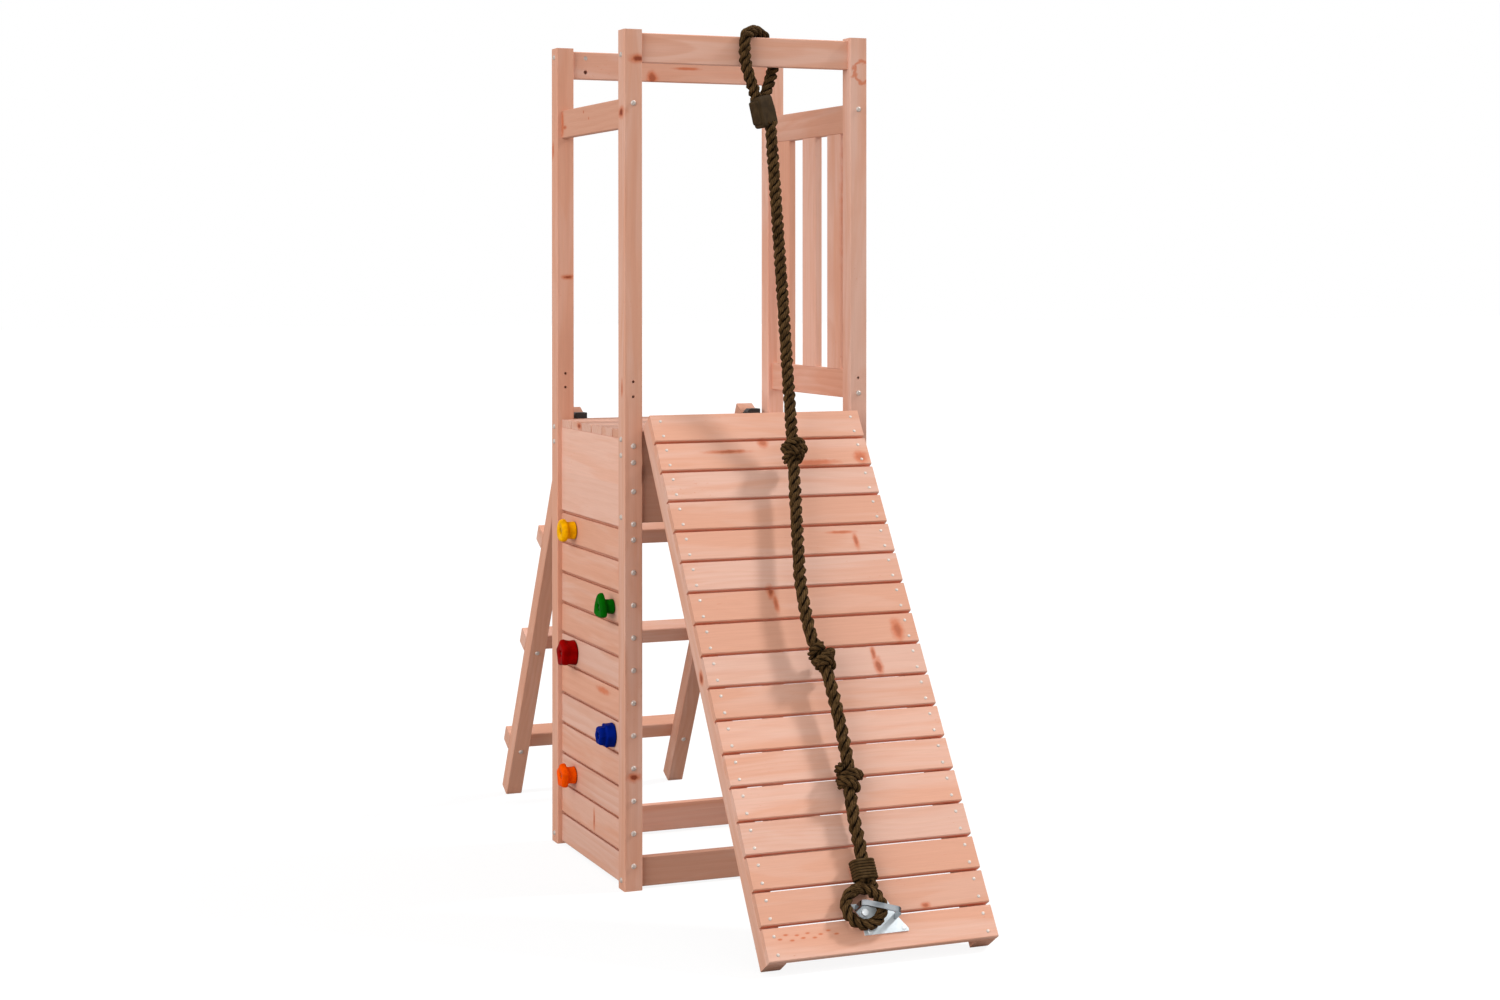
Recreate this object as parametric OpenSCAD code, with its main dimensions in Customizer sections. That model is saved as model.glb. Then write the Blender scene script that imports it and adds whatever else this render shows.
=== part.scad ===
// Wooden play tower with a knotted climbing rope: four posts, a deck, a climbing wall on the
// left, a slatted climbing ramp at the front and a leaning ladder at the back.
// Millimetres, +Z up, +X along the front, +Y from the ramp side to the ladder side.
// The origin is on the ground at the middle of the four posts.

/* [Tower] */
// Overall width over the posts, along X
tower_width = 627; // [600:1:700]
// Overall depth over the posts, along Y
tower_depth = 567; // [540:1:620]
// Height of the posts
post_height = 2030; // [2010:5:2150]
// Side of the square timber used for posts, ladder rails and rungs
post_side = 45; // [43:1:47]
// Height of the deck surface above the ground
deck_height = 1083; // [1083:1:1090]

/* [Boards] */
// Thickness of the frame and wall boards
board_thickness = 20; // [18:1:22]
// Height of the frame and wall boards
board_height = 70; // [68:1:71]
// Gap between two wall boards
wall_gap = 6.9; // [6:0.1:7]
// Gap between the lowest boards and the ground
ground_gap = 6; // [4:0.5:8]
// Number of boards in the climbing wall under the side panel
wall_count = 11; // [10:1:11]
// Chamfer on the long edges of all timber
edge_ease = 2; // [1:0.5:3]

/* [Deck] */
// Number of deck planks
plank_count = 6; // [5:1:6]
// Gap between deck planks
plank_gap = 3; // [1:0.5:4]
// Thickness of a deck plank
plank_thickness = 19; // [18:0.5:19]

/* [Ramp] */
// Slope of the ramp from the ground, degrees
ramp_angle = 56.3; // [55.5:0.1:57]
// Number of slats
slat_count = 17; // [15:1:17]
// Width of a slat
slat_width = 71; // [69:0.5:71]
// Gap between two slats
slat_gap = 6.5; // [6:0.5:6.5]
// Length of a slat, which is the width of the ramp
ramp_width = 533; // [520:1:533]
// Thickness of a slat
slat_thickness = 18; // [16:1:20]
// Depth of a stringer under the slats
stringer_depth = 42; // [40:1:45]

/* [Ladder] */
// Lean of the ladder from upright, degrees
ladder_angle = 27.6; // [25:0.1:29]
// Length of a ladder rail
ladder_length = 1228; // [1225:1:1235]
// Outer width of the ladder
ladder_width = 526; // [520:1:528]
// Sideways shift of the ladder in its bay
ladder_shift = -5; // [-5:1:0]
// Distance of the lowest rung centre from the foot
first_rung = 146; // [120:1:170]
// Spacing of the rungs
rung_pitch = 334; // [300:1:340]

/* [Rope] */
// Rope diameter
rope_diameter = 27; // [24:1:28]
// Diameter of a knot
knot_diameter = 60; // [54:1:62]

/* [Hardware] */
// Shank diameter of the frame bolts
bolt_diameter = 6; // [5:0.5:6]
// Diameter of the drilled holes for the frame bolts
bolt_hole = 7; // [6.8:0.1:7.5]
// Diameter of a domed bolt head
head_diameter = 13; // [11:0.5:14]
// Diameter of a climbing hold
hold_diameter = 58; // [50:1:62]
// How far a climbing hold stands off the wall
hold_reach = 40; // [34:1:44]

/* [Part to show] */

/* [Hidden] */
$fn = 64;
// outer faces of the post frame
x_out = tower_width / 2;
y_out = tower_depth / 2;
// faces of the posts that look into the tower
x_in = x_out - post_side;
y_in = y_out - post_side;
// boards are centred on the posts
inset = (post_side - board_thickness) / 2;
x_mid = x_out - post_side / 2;
y_mid = y_out - post_side / 2;
span_x = 2 * x_in;
span_y = 2 * y_in;
// heights of the frame boards
top_beam_z = post_height - 7 - board_height;
upper_rail_z = 1800;
lower_rail_z = 1149;
wall_pitch = board_height + wall_gap;
panel_base = ground_gap + wall_count * wall_pitch;
panel_top = deck_height - plank_thickness;
panel_height = panel_top - panel_base;
front_panel_z = 866;
front_panel_height = deck_height - front_panel_z;
deck_beam_z = deck_height - board_height;
// heights of the bolts
bolt_from_edge = 14;
wall_bolt_drop = 24;
top_bolt_z = top_beam_z + 18;
back_top_bolt_z = top_beam_z + board_height - 16;
beam_nuts_z = [top_bolt_z, back_top_bolt_z];
deck_bolts_z = [deck_height - 19, deck_height - 57];
low_bolt_z = front_panel_z + bolt_from_edge;
sill_bolt_z = ground_gap + 17;
panel_bolts_z = [panel_base + 13, panel_base + 90, panel_top - 54, panel_top - 15];
rail_bolt_z = upper_rail_z + board_height - bolt_from_edge;
lower_rail_bolt_z = lower_rail_z + bolt_from_edge;
spare_holes_z = [1165, 1200];
wall_bolts_z = [for (i = [0 : wall_count - 1]) ground_gap + (i + 1) * wall_pitch - wall_bolt_drop];
left_bolts_z = concat(wall_bolts_z, panel_bolts_z, [rail_bolt_z]);
right_bolts_z = concat([wall_bolts_z[0]], panel_bolts_z, [rail_bolt_z, lower_rail_bolt_z]);
front_bolts_z = concat([sill_bolt_z, low_bolt_z], deck_bolts_z, [top_bolt_z]);
back_bolts_z = concat([sill_bolt_z], deck_bolts_z, [back_top_bolt_z]);
bolt_bite = 56;
bolt_length = post_side + bolt_bite;
barrel_back = 36;
barrel_diameter = 10;
head_height = 3.6;
// deck
plank_width = (span_y - (plank_count - 1) * plank_gap) / plank_count;
plank_length = tower_width - 2 * inset;
plank_screw_x = plank_length / 2 - board_thickness / 2;
// railing slats
tongue_thickness = 4;
rail_slat_width = 80;
rail_slat_y = [-y_in + 82, -1, y_in - 70];
rail_slat_z = lower_rail_z + board_height;
rail_slat_height = upper_rail_z - rail_slat_z;
// ramp
slat_pitch = slat_width + slat_gap;
ramp_length = slat_count * slat_pitch - slat_gap;
ramp_depth = slat_thickness + stringer_depth;
ramp_foot_z = ramp_depth * cos(ramp_angle);
ramp_top_y = -y_out - 46;
ramp_foot_y = ramp_top_y - ramp_length * cos(ramp_angle);
stringer_x = ramp_width / 2 - post_side / 2;
nail_diameter = 4;
nail_low = 13.5;
nail_high = 53;
// ladder
ladder_top_y = y_out + 2.5;
ladder_foot_y = ladder_top_y + ladder_length * sin(ladder_angle);
ladder_x = ladder_width / 2 - post_side / 2;
rung_along = [for (i = [0 : 2]) first_rung + i * rung_pitch];
bracket_width = 37;
bracket_height = 15;
bracket_plate = 3;
bracket_tip = 8;
bracket_depth = 26;
// climbing holds: board number and side of the wall
hold_rows = [2, 4, 6, 8, 10];
hold_back_y = 133;
hold_front_y = -164;
hold_face_x = -x_out + inset;
hold_bolt_diameter = 8;
hold_bore = 8.6;
// rope
rope_radius = rope_diameter / 2;
rope_start = [57, -y_out - 6, 1800];
top_knot = [44, -y_out - 171, 1035];
// how far the hanging part bows to the right and towards the tower
rope_bow = [10, 22, 0];
// where the lower rope bends: distance up the slope and sideways place
rope_bends = [[917, 0], [730, -19], [644, -4], [510, 4], [365, -7], [200, -16]];
low_knots = [rope_bends[2], rope_bends[4]];
// height of the taut rope over the slats at its lowest and highest bend
rope_low = 20;
rope_high = 50;
// rope end fittings
ferrule_size = [56, 36, 76];
ferrule_tilt = -14;
whip_width = 56;
whip_depth = 36;
whip_length = 44;
whip_along = 166;
whip_x = -18;
eye_radius = 41;
eye_centre = [-36, 88];
plate_thickness = 3;
plate_low = 33;
plate_high = 70;
bow_bar = 5;
bow_strap = 12;
bow_height = 43;
bow_in = [-48, 92];
bow_out = [36, 66];
anchor_screw_x = [-28, 51];
stud_place = [-32, 80];

// ---------- shared shapes ----------

// rectangle with eased corners, centred in u, standing on v = 0
module eased(t, h, c = edge_ease) {
  polygon([
    [-t / 2 + c, 0], [t / 2 - c, 0], [t / 2, c], [t / 2, h - c],
    [t / 2 - c, h], [-t / 2 + c, h], [-t / 2, h - c], [-t / 2, c]
  ]);
}

// board running along +X from the origin, centred in Y
module board_x(length, t, h) {
  rotate([90, 0, 90])
    linear_extrude(length)
      eased(t, h);
}

// board running along +Y from the origin, centred in X
module board_y(length, t, h) {
  translate([0, length, 0])
    rotate([90, 0, 0])
      linear_extrude(length)
        eased(t, h);
}

// square timber standing on the ground, centred in plan
module timber(length, side = post_side) {
  translate([0, -side / 2, 0])
    linear_extrude(length)
      eased(side, side);
}

// round bar between two points
module bar(a, b, r) {
  d = b - a;
  len = norm(d);
  translate(a)
    rotate([0, acos(d[2] / len), atan2(d[1], d[0])])
      cylinder(h = len, r = r);
}

// domed bolt with its head on z = 0 looking along -Z and its shank along +Z
module bolt(length, shank = bolt_diameter, head = head_diameter, tall = head_height) {
  rotate_extrude()
    polygon([
      [0, -tall], [head * 0.28, -tall], [head * 0.44, -tall * 0.6], [head * 0.5, 0],
      [shank / 2, 0], [shank / 2, length], [0, length]
    ]);
}

// turns the +Z axis to +X
module along_x() {
  rotate([0, 90, 0]) children();
}

// turns the +Z axis to +Y
module along_y() {
  rotate([-90, 0, 0]) children();
}

// ---------- posts ----------

// cross bores of one post, sx and sy give its corner of the tower
module post_bores(sx, sy, x_heights, y_heights) {
  for (z = x_heights)
    translate([0, 0, z])
      along_x()
        cylinder(h = 2 * post_side, d = bolt_hole, center = true);
  for (z = y_heights)
    translate([0, 0, z])
      along_y()
        cylinder(h = 2 * post_side, d = bolt_hole, center = true);
}

module post(sx, sy, x_heights, y_heights) {
  color("BurlyWood")
    translate([sx * x_mid, sy * y_mid, 0])
      difference() {
        timber(post_height);
        post_bores(sx, sy, x_heights, y_heights);
      }
}

module post_front_left() {
  post(-1, -1, front_bolts_z, concat(left_bolts_z, spare_holes_z));
}

module post_front_right() {
  post(1, -1, front_bolts_z, concat(right_bolts_z, [spare_holes_z[1]]));
}

module post_back_left() {
  post(-1, 1, back_bolts_z, concat(left_bolts_z, spare_holes_z));
}

module post_back_right() {
  post(1, 1, back_bolts_z, concat(right_bolts_z, [spare_holes_z[1]]));
}

// ---------- boards between the posts ----------

// board along X in the row of posts at sy, drilled in both ends for bolts and
// from its inner face for the barrel nuts
module cross_board(sy, z, h, bolts, nuts = []) {
  color("BurlyWood")
    difference() {
      translate([-x_in, sy * y_mid, z])
        board_x(span_x, board_thickness, h);
      for (s = [-1, 1], bz = bolts)
        translate([s * (x_in - bolt_bite / 2), sy * y_mid, bz])
          along_x()
            cylinder(h = bolt_bite + 4, d = bolt_hole, center = true);
      for (s = [-1, 1], bz = nuts)
        translate([s * (x_in - barrel_back), sy * (y_mid - 2), bz])
          along_y()
            cylinder(h = board_thickness - 2, d = barrel_diameter + 0.6, center = true);
    }
}

// board along Y in the row of posts at sx, drilled in both ends
module side_board(sx, z, h, bolts) {
  color("BurlyWood")
    difference() {
      translate([sx * x_mid, -y_in, z])
        board_y(span_y, board_thickness, h);
      for (s = [-1, 1], bz = bolts)
        translate([sx * x_mid, s * (y_in - bolt_bite / 2), bz])
          along_y()
            cylinder(h = bolt_bite + 4, d = bolt_hole, center = true);
    }
}

module beam_front() {
  cross_board(-1, top_beam_z, board_height, [top_bolt_z], beam_nuts_z);
}

module beam_back() {
  cross_board(1, top_beam_z, board_height, [back_top_bolt_z], beam_nuts_z);
}

module deck_beam() {
  cross_board(1, deck_beam_z, board_height, deck_bolts_z, deck_bolts_z);
}

module panel_front() {
  cross_board(-1, front_panel_z, front_panel_height, concat([low_bolt_z], deck_bolts_z));
}

module sill_front() {
  cross_board(-1, ground_gap, board_height, [sill_bolt_z], [sill_bolt_z]);
}

module sill_back() {
  cross_board(1, ground_gap, board_height, [sill_bolt_z], [sill_bolt_z]);
}

module rail_left() {
  side_board(-1, upper_rail_z, board_height, [rail_bolt_z]);
}

module rail_right_upper() {
  side_board(1, upper_rail_z, board_height, [rail_bolt_z]);
}

module rail_right_lower() {
  side_board(1, lower_rail_z, board_height, [lower_rail_bolt_z]);
}

module panel_right() {
  side_board(1, panel_base, panel_height, panel_bolts_z);
}

module panel_left() {
  side_board(-1, panel_base, panel_height, panel_bolts_z);
}

module sill_right() {
  side_board(1, ground_gap, board_height, [wall_bolts_z[0]]);
}

// upright slats standing between the two right-hand rails
module railing_slats() {
  color("BurlyWood")
    for (y = rail_slat_y)
      translate([x_mid, y, rail_slat_z])
        rotate([0, 0, 90])
          translate([0, -board_thickness / 2, 0])
            linear_extrude(rail_slat_height)
              eased(rail_slat_width, board_thickness);
}

// bore for the bolt of the hold fixed on wall board i
module hold_hole(i) {
  translate([-x_mid, hold_y(i), hold_z(i)])
    along_x()
      cylinder(h = 2 * board_thickness, d = hold_bore, center = true);
}

// wall board i: a plain board with a narrow tongue that closes the gap above it
module wall_board(i) {
  z = ground_gap + i * wall_pitch;
  color("BurlyWood")
    translate([-x_mid - tongue_thickness / 2, -y_in, z + board_height - 1])
      cube([tongue_thickness, span_y, wall_gap + 0.7]);
  side_board(-1, z, board_height, [wall_bolts_z[i]]);
}

module wall_boards() {
  for (i = [0 : wall_count - 1])
    difference() {
      wall_board(i);
      if (i > 0 && i % 2 == 0)
        hold_hole(i);
    }
}

// ---------- deck ----------

module plank_screw_places(i) {
  y = -y_in + i * (plank_width + plank_gap) + plank_width / 2;
  for (sx = [-1, 1], dy = [-1, 1])
    translate([sx * plank_screw_x, y + dy * plank_width / 4, deck_height])
      children();
}

module deck_planks() {
  color("BurlyWood")
    for (i = [0 : plank_count - 1])
      difference() {
        translate([-plank_length / 2, -y_in + i * (plank_width + plank_gap) + plank_width / 2, panel_top])
          board_x(plank_length, plank_width, plank_thickness);
        plank_screw_places(i)
          cylinder(h = 3 * plank_thickness, d = nail_diameter + 0.6, center = true);
        plank_screw_places(i)
          translate([0, 0, -2])
            cylinder(h = 10, d = 8.6);
      }
}

module deck_screws() {
  color("Silver")
    for (i = [0 : plank_count - 1])
      plank_screw_places(i)
        translate([0, 0, -2])
          rotate([180, 0, 0])
            bolt(plank_thickness - 2.2, nail_diameter, 8, 1.4);
}

// ---------- ladder ----------

// places children in the frame of the ladder: z up the rails, y to the back
module ladder_frame() {
  translate([ladder_shift, ladder_foot_y, 0])
    rotate([ladder_angle, 0, 0])
      children();
}

module ladder_rail(s) {
  color("BurlyWood")
    ladder_frame()
      difference() {
        translate([s * ladder_x, post_side / 2, 0])
          timber(ladder_length);
        for (z = rung_along)
          translate([s * ladder_x, 0, z])
            along_y()
              cylinder(h = 3 * post_side, d = bolt_hole, center = true);
      }
}

module ladder_rail_left() {
  ladder_rail(-1);
}

module ladder_rail_right() {
  ladder_rail(1);
}

module ladder_rungs() {
  color("BurlyWood")
    ladder_frame()
      for (z = rung_along)
        difference() {
          translate([-ladder_width / 2, 1.5 * post_side, z - post_side / 2])
            board_x(ladder_width, post_side, post_side);
          for (s = [-1, 1])
            translate([s * ladder_x, post_side - 1, z])
              along_y()
                cylinder(h = 36, d = bolt_hole);
        }
}

module ladder_bolts() {
  color("Silver")
    ladder_frame()
      for (s = [-1, 1], z = rung_along)
        translate([s * ladder_x, 0, z])
          along_y()
            bolt(post_side + 33);
}

// connector on the rear edge of the deck with a tongue down the front of the rail
module ladder_bracket(s) {
  block_y = y_out - 0.4;
  union() {
    translate([ladder_shift + s * ladder_x, block_y, deck_height])
      rotate([90, 0, 0])
        linear_extrude(bracket_depth)
          polygon([
            [-bracket_width / 2 + bracket_tip, 0], [bracket_width / 2, 0],
            [bracket_width / 2, bracket_height], [-bracket_width / 2 + bracket_tip, bracket_height],
            [-bracket_width / 2, bracket_height / 2]
          ]);
    ladder_frame()
      translate([s * ladder_x - bracket_width / 2, -bracket_plate, ladder_length - 46])
        cube([bracket_width, bracket_plate, 46]);
    translate([ladder_shift + s * ladder_x - bracket_width / 2, y_out - 6, deck_height])
      cube([bracket_width, 7, 5]);
  }
}

module ladder_brackets() {
  color("DimGray")
    for (s = [-1, 1])
      ladder_bracket(s);
}

// ---------- ramp ----------

// places children in the frame of the ramp: y up the slope, z out of its face
module ramp_frame() {
  translate([0, ramp_foot_y, ramp_foot_z])
    rotate([ramp_angle, 0, 0])
      children();
}

// nail positions of slat i, counted from the foot
module nail_places(i) {
  for (sx = [-1, 1], y = [nail_low, nail_high])
    translate([sx * stringer_x, i * slat_pitch + y, 0])
      children();
}

module stringer(s) {
  color("BurlyWood")
    ramp_frame()
      difference() {
        translate([s * stringer_x, 0, -ramp_depth])
          board_y(ramp_length, post_side, stringer_depth);
        for (i = [0 : slat_count - 1], y = [nail_low, nail_high])
          translate([s * stringer_x, i * slat_pitch + y, 0])
            cylinder(h = 2 * (slat_thickness + 22), d = nail_diameter + 0.6, center = true);
      }
}

module stringer_left() {
  stringer(-1);
}

module stringer_right() {
  stringer(1);
}

module ramp_slats() {
  color("BurlyWood")
    ramp_frame()
      for (i = [0 : slat_count - 1])
        difference() {
          translate([-ramp_width / 2, i * slat_pitch + slat_width / 2, -slat_thickness])
            board_x(ramp_width, slat_width, slat_thickness);
          nail_places(i)
            cylinder(h = 3 * slat_thickness, d = nail_diameter + 0.6, center = true);
          if (i == 0)
            anchor_screw_places()
              cylinder(h = 3 * slat_thickness, d = 5.6, center = true);
        }
}

module ramp_nails() {
  color("Silver")
    ramp_frame()
      for (i = [0 : slat_count - 1])
        nail_places(i)
          rotate([180, 0, 0])
            bolt(slat_thickness + 20, nail_diameter, 7.5, 1.2);
}

// angle bracket between the inside of a stringer and the front panel
module ramp_bracket(s) {
  face_y = -y_out + inset;
  inner_x = ramp_width / 2 - post_side - 0.2;
  translate([s * inner_x, face_y - 0.2, deck_height - 75])
    mirror([s > 0 ? 0 : 1, 0, 0])
      union() {
        translate([-bracket_plate, -80, 0])
          cube([bracket_plate, 80, 38]);
        translate([-40, -bracket_plate, 0])
          cube([40, bracket_plate, 38]);
      }
}

module ramp_brackets() {
  color("DimGray")
    for (s = [-1, 1])
      ramp_bracket(s);
}

// ---------- climbing holds ----------

function hold_y(i) = (i % 4 == 2) ? hold_back_y : hold_front_y;
function hold_z(i) = ground_gap + i * wall_pitch + board_height / 2;

// spool-shaped hold turned about its bolt, base at z = 0 and face at z = hold_reach
module hold_body() {
  r = hold_diameter / 2;
  w = hold_reach;
  rotate_extrude()
    polygon([
      [hold_bore / 2, 0], [r * 0.66, 0], [r * 0.68, w * 0.06], [r * 0.62, w * 0.30],
      [r * 0.64, w * 0.48], [r * 0.76, w * 0.56], [r * 0.97, w * 0.64], [r, w * 0.78],
      [r * 0.96, w * 0.92], [r * 0.84, w], [10, w], [9, w - 9], [hold_bore / 2, w - 9]
    ]);
}

module hold(i) {
  translate([hold_face_x, hold_y(i), hold_z(i)])
    rotate([0, -90, 0])
      hold_body();
}

module hold_yellow() {
  color("Gold") hold(hold_rows[4]);
}

module hold_green() {
  color("Green") hold(hold_rows[3]);
}

module hold_red() {
  color("Red") hold(hold_rows[2]);
}

module hold_blue() {
  color("Blue") hold(hold_rows[1]);
}

module hold_orange() {
  color("Orange") hold(hold_rows[0]);
}

module hold_bolts() {
  color("Silver")
    for (i = hold_rows)
      translate([hold_face_x - hold_reach + 9, hold_y(i), hold_z(i)])
        along_x()
          bolt(hold_reach - 9 + board_thickness + 8, hold_bolt_diameter, 14, 4);
}

// ---------- frame bolts ----------

// bolts through the side faces of the posts into the ends of the X boards
module side_bolts() {
  color("Silver")
    for (sx = [-1, 1]) {
      for (z = front_bolts_z)
        translate([sx * x_out, -y_mid, z])
          rotate([0, sx < 0 ? 90 : -90, 0])
            bolt(bolt_length - 3);
      for (z = back_bolts_z)
        translate([sx * x_out, y_mid, z])
          rotate([0, sx < 0 ? 90 : -90, 0])
            bolt(bolt_length - 3);
    }
}

// bolts through the front and back faces of the posts into the ends of the Y boards
module end_bolts() {
  color("Silver")
    for (sy = [-1, 1]) {
      for (z = left_bolts_z)
        translate([-x_mid, sy * y_out, z])
          rotate([sy < 0 ? -90 : 90, 0, 0])
            bolt(bolt_length - 3);
      for (z = right_bolts_z)
        translate([x_mid, sy * y_out, z])
          rotate([sy < 0 ? -90 : 90, 0, 0])
            bolt(bolt_length - 3);
    }
}

// cross dowel nut, sunk from the inner face and threaded on the line of its bolt
module barrel_nut(sx, sy, z) {
  translate([sx * (x_in - barrel_back), sy * y_mid, z])
    difference() {
      translate([0, -sy * 1.7, 0])
        along_y()
          cylinder(h = board_thickness - 4, d = barrel_diameter, center = true);
      along_x()
        cylinder(h = 2 * barrel_diameter, d = bolt_diameter + 0.4, center = true);
    }
}

module barrel_nuts() {
  color("Silver")
    for (sx = [-1, 1]) {
      barrel_nut(sx, -1, top_bolt_z);
      barrel_nut(sx, 1, back_top_bolt_z);
      barrel_nut(sx, -1, sill_bolt_z);
      barrel_nut(sx, 1, sill_bolt_z);
      for (z = deck_bolts_z)
        barrel_nut(sx, 1, z);
    }
}

// ---------- rope ----------

// point of the ramp face at a distance up the slope, lifted off the face
function on_ramp(x, along, lift) = [
  x,
  ramp_foot_y + along * cos(ramp_angle) - lift * sin(ramp_angle),
  ramp_foot_z + along * sin(ramp_angle) + lift * cos(ramp_angle)
];

function mix(a, b, s) = a + (b - a) * s;

// free part of the rope, from the ferrule down to the top knot
function hanging(s) = mix(rope_start, top_knot, s) + rope_bow * sin(180 * s);

// point of the taut part of the rope at a bend
function bend_point(p) = on_ramp(
  p[1], p[0],
  mix(rope_low, rope_high, sin(90 * (p[0] - whip_along) / (rope_bends[0][0] - whip_along)))
);

rope_points = concat(
  [for (i = [0 : 4]) hanging(i / 4)],
  [for (p = rope_bends) bend_point(p)]
);

// chain of round bars with a ball at each bend
module rope_chain(points, r) {
  n = len(points);
  for (i = [0 : n - 2])
    bar(points[i], points[i + 1], r);
  for (i = [1 : n - 2])
    translate(points[i])
      sphere(r = r * 1.03);
}

module rope_run() {
  color("SaddleBrown")
    union() {
      rope_chain(rope_points, rope_radius);
      translate(top_knot)
        sphere(d = knot_diameter);
      for (k = low_knots)
        translate(bend_point(k))
          sphere(d = knot_diameter);
    }
}

// loop over the front beam, closing in the ferrule
module rope_loop() {
  front_y = -y_mid - board_thickness / 2 - rope_radius - 2;
  back_y = -y_mid + board_thickness / 2 + rope_radius + 2;
  top_z = top_beam_z + board_height;
  low_z = top_beam_z - 62;
  color("SaddleBrown")
    rope_chain([
      [16, -y_mid - 8, low_z],
      [-7, front_y, top_beam_z - 4],
      [-8, front_y, top_z + 8],
      [31, -y_mid, top_z + 33],
      [70, back_y, top_z + 8],
      [84, back_y, top_beam_z - 4],
      [56, -y_mid + 4, low_z]
    ], rope_radius);
}

// moulded clamp that closes the loop
module rope_ferrule() {
  color("DimGray")
    translate([rope_start[0] - 15, rope_start[1] + 11, rope_start[2] + ferrule_size[2] / 2 + 12])
      rotate([0, ferrule_tilt, 0])
        translate([0, -ferrule_size[1] / 2, -ferrule_size[2] / 2])
          linear_extrude(ferrule_size[2] - 8)
            eased(ferrule_size[0], ferrule_size[1], 10);
}

module rope_whipping() {
  r = whip_depth / 2;
  side = (whip_width - whip_depth) / 2;
  color("SaddleBrown")
    ramp_frame()
      translate([whip_x, whip_along - whip_length / 2, rope_low])
        along_y()
          difference() {
            union() {
              for (s = [-1, 1])
                translate([s * side, 0, 0])
                  cylinder(h = whip_length, r = r);
              translate([-side, -r, 0])
                cube([2 * side, 2 * r, whip_length]);
            }
            translate([0, 0, whip_length - 10])
              cylinder(h = 20, r = rope_radius + 2);
          }
}

// spliced eye lying on the slats
module rope_eye() {
  color("SaddleBrown")
    ramp_frame()
      translate([eye_centre[0], eye_centre[1], rope_radius + plate_thickness + 2])
        rotate_extrude()
          translate([eye_radius, 0])
            circle(d = rope_diameter, $fn = 48);
}

// ---------- rope anchor ----------

module anchor_screw_places() {
  for (x = anchor_screw_x)
    translate([x, plate_low + 8, 0])
      children();
}

module anchor_plate() {
  color("Silver")
    ramp_frame()
      difference() {
        linear_extrude(plate_thickness)
          polygon([
            [-42, plate_low], [61, plate_low], [61, plate_low + 6], [40, plate_high],
            [28, plate_high + 32], [-58, plate_high + 32], [-42, plate_high]
          ]);
        anchor_screw_places()
          cylinder(h = 20, d = 5.6, center = true);
      }
}

// outline of an arch with rounded shoulders, standing on v = 0
module arch(w, h, r) {
  translate([-w / 2, 0])
    square([w, h - r]);
  translate([-w / 2 + r, 0])
    square([w - 2 * r, h]);
  for (s = [-1, 1])
    translate([s * (w / 2 - r), h - r])
      circle(r);
}

// steel bow standing on the plate, one leg inside the eye and one beside it
module anchor_bow() {
  span = bow_out - bow_in;
  color("Silver")
    ramp_frame()
      translate([(bow_in[0] + bow_out[0]) / 2, (bow_in[1] + bow_out[1]) / 2, plate_thickness])
        rotate([0, 0, atan2(span[1], span[0])])
          rotate([90, 0, 0])
            linear_extrude(bow_strap, center = true)
              difference() {
                arch(norm(span) + bow_bar, bow_height, 14);
                translate([0, -1])
                  arch(norm(span) - bow_bar, bow_height - bow_bar + 1, 14 - bow_bar);
              }
}

// screws of the plate and the hex stud that stops the eye from sliding
module anchor_screws() {
  color("Silver")
    ramp_frame() {
      anchor_screw_places()
        translate([0, 0, plate_thickness])
          rotate([180, 0, 0])
            bolt(slat_thickness + plate_thickness - 1, 5, 11, 1.7);
      translate([stud_place[0], stud_place[1], plate_thickness])
        cylinder(h = 7, d = 16, $fn = 6);
    }
}

// ---------- assembly ----------

post_front_left();
post_front_right();
post_back_left();
post_back_right();
beam_front();
beam_back();
rail_left();
rail_right_upper();
rail_right_lower();
railing_slats();
panel_left();
panel_right();
panel_front();
deck_beam();
deck_planks();
deck_screws();
wall_boards();
sill_front();
sill_back();
sill_right();
ladder_rail_left();
ladder_rail_right();
ladder_rungs();
ladder_bolts();
ladder_brackets();
stringer_left();
stringer_right();
ramp_slats();
ramp_nails();
ramp_brackets();
hold_yellow();
hold_green();
hold_red();
hold_blue();
hold_orange();
hold_bolts();
side_bolts();
end_bolts();
barrel_nuts();
rope_loop();
rope_ferrule();
rope_run();
rope_whipping();
rope_eye();
anchor_plate();
anchor_bow();
anchor_screws();
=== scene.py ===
"""Looks of the wooden play tower: timber, steel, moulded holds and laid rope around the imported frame."""

import math

import bmesh
import bpy
import numpy as np
from mathutils import Matrix, Vector


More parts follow.
